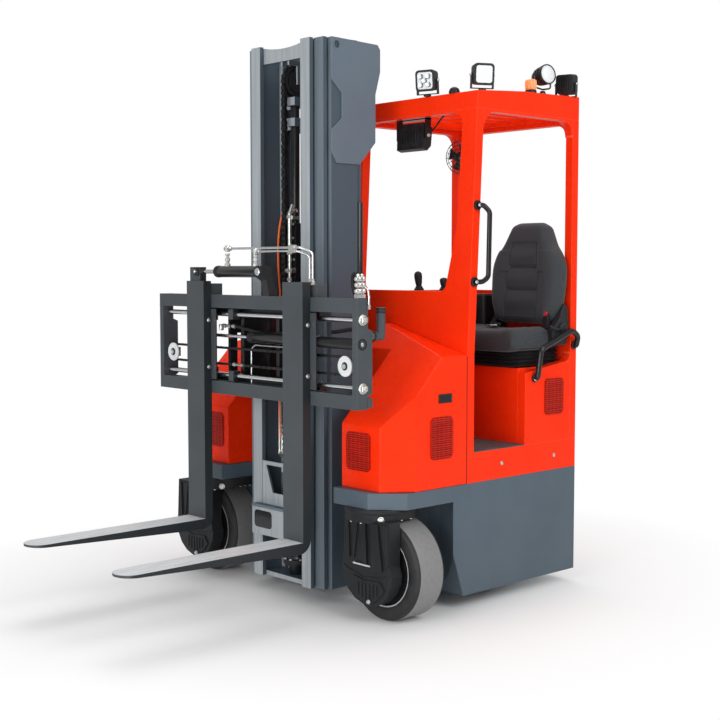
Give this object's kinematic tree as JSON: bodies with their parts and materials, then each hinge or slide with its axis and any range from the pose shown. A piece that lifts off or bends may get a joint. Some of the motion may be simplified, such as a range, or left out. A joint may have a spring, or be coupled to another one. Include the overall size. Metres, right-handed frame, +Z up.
{
  "type": "multidirectional forklift",
  "caption": "Compact fork truck with a three-stage mast, a fork positioner on a side-shifting frame, a driver cab and separately steered wheels.",
  "frame": {"origin": "on the ground, at the middle of the overall width and length", "axes": "+Z up; the forks point along -Y; the open side of the cab faces +X"},
  "size_m": [1.646, 2.2414, 2.4399],
  "materials": {
    "grey_paint": "satin",
    "red_paint": "gloss",
    "dark_red_paint": "satin",
    "black_plastic": "matt",
    "dark_paint": "satin",
    "mat": "matt",
    "black_paint": "satin",
    "bellows": "matt",
    "seat_cover": "woven",
    "amber": "clear",
    "mast_paint": "satin",
    "chain": "oiled",
    "steel": "polished",
    "tread": "matt"
  },
  "bodies": {
    "root": {"chassis_frame": "grey_paint", "pod_right": "red_paint", "pod_left": "red_paint", "grilles": "dark_red_paint", "hatch_handles": "black_plastic", "lower_body": "red_paint", "battery_hood": "red_paint", "battery_block": "dark_paint", "cab_floor": "mat", "seat_base": "red_paint", "cab_front_wall": "red_paint", "cab_rear_wall": "red_paint", "cab_left_wall": "red_paint", "cab_right_side": "red_paint", "roof_frame": "red_paint", "entry_handle": "black_paint", "side_rail": "black_paint", "seat_suspension": "bellows", "seat_cushion": "seat_cover", "seat_back": "seat_cover", "control_console": "black_plastic", "lamps": "black_plastic", "beacon": "amber", "ceiling_unit": "black_plastic", "outer_mast": "mast_paint", "mast_side_plates": "mast_paint", "lift_barrels": "black_paint"},
    "mid_stage": {"mid_mast": "mast_paint"},
    "inner_stage": {"inner_mast": "mast_paint", "centre_cylinder": "mast_paint", "lift_chain": "chain"},
    "carriage": {"carriage_base": "black_paint"},
    "positioner": {"shift_frame": "dark_paint", "guide_rods": "steel", "positioner_barrels": "black_paint", "positioner_chain": "chain", "hydraulics": "steel"},
    "left_fork": {"fork_left": "dark_paint", "fork_left_rods": "steel"},
    "right_fork": {"fork_right": "dark_paint"},
    "steer_right": {"steer_leg_right": "black_paint"},
    "steer_left": {"steer_leg_left": "black_paint"},
    "steer_rear": {"steer_leg_rear": "black_paint"},
    "roll_right": {"wheel_right": "tread"},
    "roll_left": {"wheel_left": "tread"},
    "roll_rear": {"wheel_rear": "tread"}
  },
  "joints": [
    {"name": "mast_lift", "type": "slide", "parent": "root", "child": "mid_stage", "axis": [0, 0, 1], "range_m": [0, 1.4]},
    {"name": "inner_lift", "type": "slide", "parent": "mid_stage", "child": "inner_stage", "axis": [0, 0, 1], "range_m": [0, 1.4]},
    {"name": "carriage_lift", "type": "slide", "parent": "inner_stage", "child": "carriage", "axis": [0, 0, 1], "range_m": [-0.25, 0.85]},
    {"name": "side_shift", "type": "slide", "parent": "carriage", "child": "positioner", "axis": [1, 0, 0], "range_m": [-0.075, 0.075]},
    {"name": "left_fork_slide", "type": "slide", "parent": "positioner", "child": "left_fork", "axis": [1, 0, 0], "range_m": [-0.2, 0.1]},
    {"name": "right_fork_slide", "type": "slide", "parent": "positioner", "child": "right_fork", "axis": [1, 0, 0], "range_m": [-0.1, 0.2]},
    {"name": "steer_right", "type": "hinge", "parent": "root", "child": "steer_right", "pos_m": [0.545, 0.04825, 0.5], "axis": [0, 0, 1], "range_deg": [-50, 100]},
    {"name": "steer_left", "type": "hinge", "parent": "root", "child": "steer_left", "pos_m": [-0.545, 0.04825, 0.5], "axis": [0, 0, 1], "range_deg": [-100, 50]},
    {"name": "steer_rear", "type": "hinge", "parent": "root", "child": "steer_rear", "pos_m": [0, 0.79075, 0.5], "axis": [0, 0, 1], "range_deg": [-100, 100]},
    {"name": "roll_right", "type": "hinge", "parent": "steer_right", "child": "roll_right", "pos_m": [0.61, 0.07125, 0.213], "axis": [0, 1, 0], "continuous": true},
    {"name": "roll_left", "type": "hinge", "parent": "steer_left", "child": "roll_left", "pos_m": [-0.61, 0.07125, 0.213], "axis": [0, 1, 0], "continuous": true},
    {"name": "roll_rear", "type": "hinge", "parent": "steer_rear", "child": "roll_rear", "pos_m": [0, 0.81375, 0.213], "axis": [0, 1, 0], "continuous": true}
  ],
  "couplings": [
    {"joint": "inner_lift", "follows": "mast_lift", "ratio": 1},
    {"joint": "right_fork_slide", "follows": "left_fork_slide", "ratio": -1}
  ]
}
